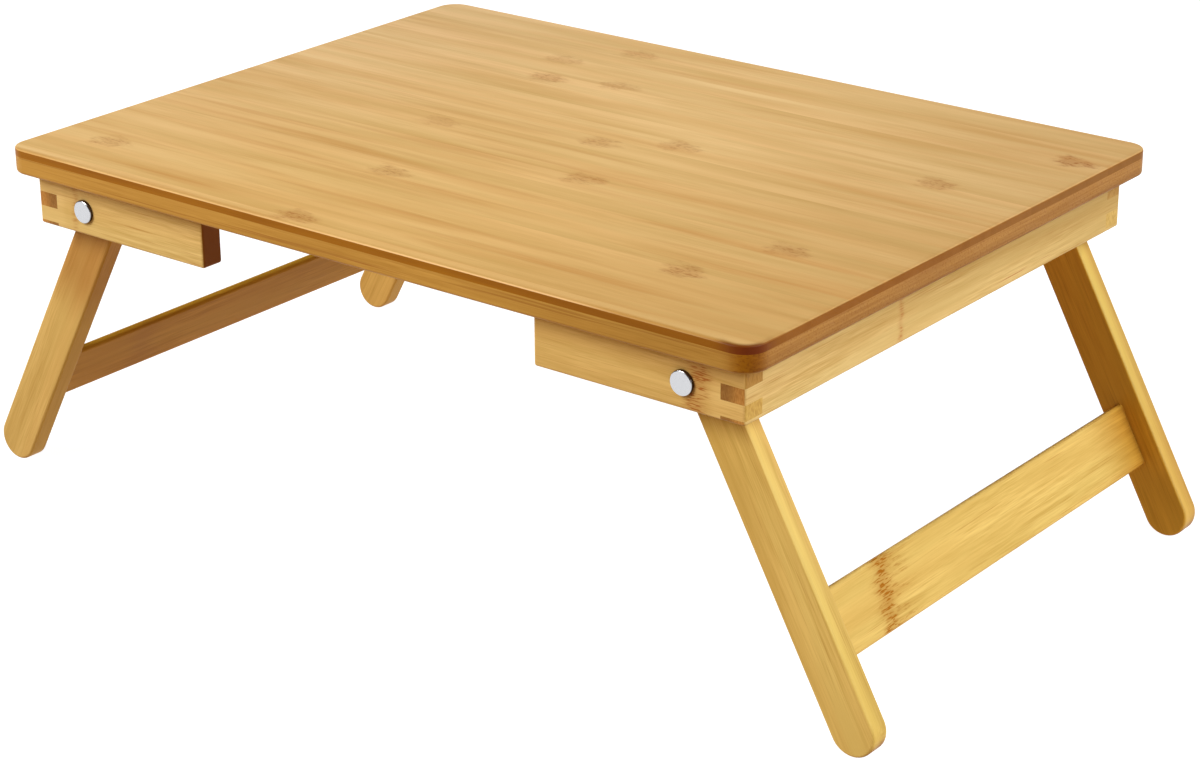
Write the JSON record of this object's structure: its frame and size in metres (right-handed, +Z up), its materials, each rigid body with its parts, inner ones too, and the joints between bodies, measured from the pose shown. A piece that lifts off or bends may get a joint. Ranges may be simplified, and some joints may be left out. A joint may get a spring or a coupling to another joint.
{
  "type": "bed tray",
  "caption": "Folding bamboo laptop bed tray: flat rounded top on shallow end aprons, with splayed leg frames that swing in and lie flat under the top.",
  "frame": {"origin": "on the floor under the middle of the top, with the legs open", "axes": "+X along the tray's length, +Y to the back, +Z up"},
  "size_m": [0.6106, 0.376, 0.2071],
  "materials": {
    "bamboo_face": "satin lacquer, fine straight grain",
    "bamboo_core": "satin lacquer, strip edges showing",
    "bamboo_rail": "satin lacquer, finger joints with darker end grain",
    "bamboo_leg": "satin lacquer",
    "bamboo_slat": "satin lacquer, darker growth ring marks",
    "polished_steel": "smooth bright nickel",
    "zinc_steel": "zinc plated",
    "white_nylon": "matt nylon"
  },
  "bodies": {
    "table": {"tabletop_face_ply": "bamboo_face", "tabletop_core": "bamboo_core", "left_end_rail": "bamboo_rail", "right_end_rail": "bamboo_rail", "left_front_rail": "bamboo_rail", "left_rear_rail": "bamboo_rail", "right_front_rail": "bamboo_rail", "right_rear_rail": "bamboo_rail", "left_front_barrel": "polished_steel", "left_rear_barrel": "polished_steel", "right_front_barrel": "polished_steel", "right_rear_barrel": "polished_steel", "pivot_screws": "zinc_steel", "pivot_screw_washers": "zinc_steel", "spacer_washers": "white_nylon", "apron_screws": "zinc_steel"},
    "left_legs": {"left_front_leg": "bamboo_leg", "left_rear_leg": "bamboo_leg", "left_stretcher": "bamboo_slat"},
    "right_legs": {"right_front_leg": "bamboo_leg", "right_rear_leg": "bamboo_leg", "right_stretcher": "bamboo_slat"}
  },
  "joints": [
    {"name": "left_legs_fold", "type": "hinge", "parent": "table", "child": "left_legs", "pos_m": [-0.2029, 0, 0.17591], "axis": [0, -1, 0], "range_deg": [0, 119.5]},
    {"name": "right_legs_fold", "type": "hinge", "parent": "table", "child": "right_legs", "pos_m": [0.2029, 0, 0.17591], "axis": [0, 1, 0], "range_deg": [0, 119.5]}
  ]
}
